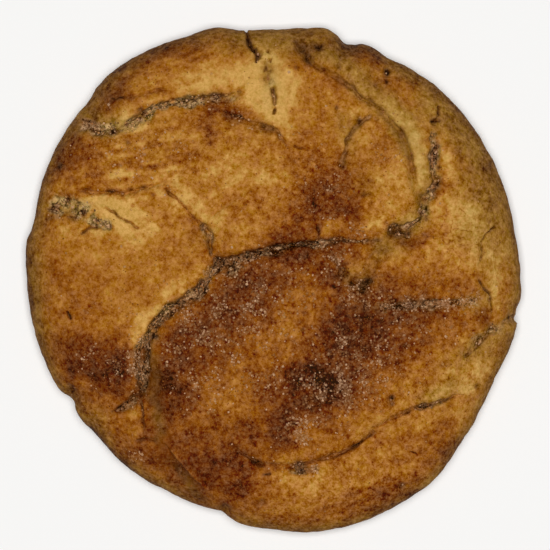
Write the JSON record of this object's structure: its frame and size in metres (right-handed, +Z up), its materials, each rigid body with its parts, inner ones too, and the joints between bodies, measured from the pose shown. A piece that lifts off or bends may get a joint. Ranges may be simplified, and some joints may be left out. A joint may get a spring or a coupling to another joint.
{
  "type": "snickerdoodle cookie",
  "caption": "Round puffed snickerdoodle with a folded, cracked top, a rolled rim and a flat underside.",
  "frame": {"origin": "middle of the flat underside, under the middle of the outline's box", "axes": "+Z up out of the domed top, +Y towards the picture's top edge, +X towards its right edge"},
  "size_m": [0.091, 0.0928, 0.0159],
  "materials": {
    "crust": "matte browned crust rolled in cinnamon sugar"
  },
  "bodies": {
    "root": {"cookie": "crust"}
  },
  "joints": []
}
